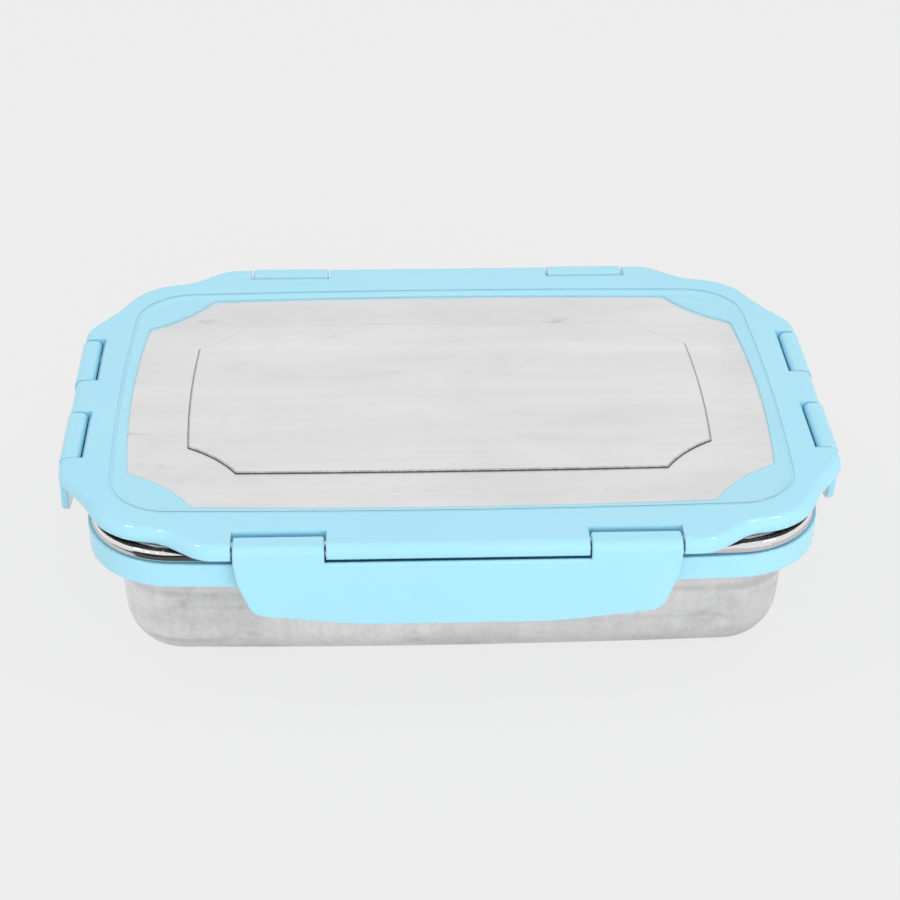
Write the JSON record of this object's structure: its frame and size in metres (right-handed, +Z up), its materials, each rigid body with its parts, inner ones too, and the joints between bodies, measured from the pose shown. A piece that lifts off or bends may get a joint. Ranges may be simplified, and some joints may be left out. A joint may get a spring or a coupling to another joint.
{
  "type": "steel lunch box with snap lid",
  "caption": "Rectangular stainless steel lunch box with a light blue plastic snap lid: a drawn tray with a rolled rim in a plastic collar, and a lid with a steel plate, a seal and four hinged flaps on steel pins.",
  "frame": {"origin": "on the surface the box stands on, under the middle of its bounding box", "axes": "+Z up, +X along the long side, -Y towards the front flap"},
  "size_m": [0.2262, 0.168, 0.0486],
  "materials": {
    "blue_plastic": "glossy",
    "tray_steel": "satin",
    "plate_steel": "satin",
    "pin_steel": "polished",
    "silicone": "matt, translucent white"
  },
  "bodies": {
    "base": {"steel_tray": "tray_steel", "base_collar": "blue_plastic"},
    "lid": {"lid_frame": "blue_plastic", "lid_plate": "plate_steel", "lid_seal": "silicone", "front_hinge_pin": "pin_steel", "back_hinge_pin": "pin_steel", "left_hinge_pin": "pin_steel", "right_hinge_pin": "pin_steel"},
    "front_flap": {"front_flap": "blue_plastic"},
    "back_flap": {"back_flap": "blue_plastic"},
    "left_flap": {"left_flap": "blue_plastic"},
    "right_flap": {"right_flap": "blue_plastic"}
  },
  "joints": [
    {"name": "lid_lift", "type": "slide", "parent": "base", "child": "lid", "axis": [0, 0, 1], "range_m": [0, 0.06]},
    {"name": "front_flap_hinge", "type": "hinge", "parent": "lid", "child": "front_flap", "pos_m": [0, -0.0778, 0.0465], "axis": [-1, 0, 0], "range_deg": [-5.5, 110]},
    {"name": "back_flap_hinge", "type": "hinge", "parent": "lid", "child": "back_flap", "pos_m": [0, 0.0778, 0.0465], "axis": [1, 0, 0], "range_deg": [-5.5, 110]},
    {"name": "left_flap_hinge", "type": "hinge", "parent": "lid", "child": "left_flap", "pos_m": [-0.1078, 0, 0.0465], "axis": [0, 1, 0], "range_deg": [-5.5, 110]},
    {"name": "right_flap_hinge", "type": "hinge", "parent": "lid", "child": "right_flap", "pos_m": [0.1078, 0, 0.0465], "axis": [0, -1, 0], "range_deg": [-5.5, 110]}
  ]
}
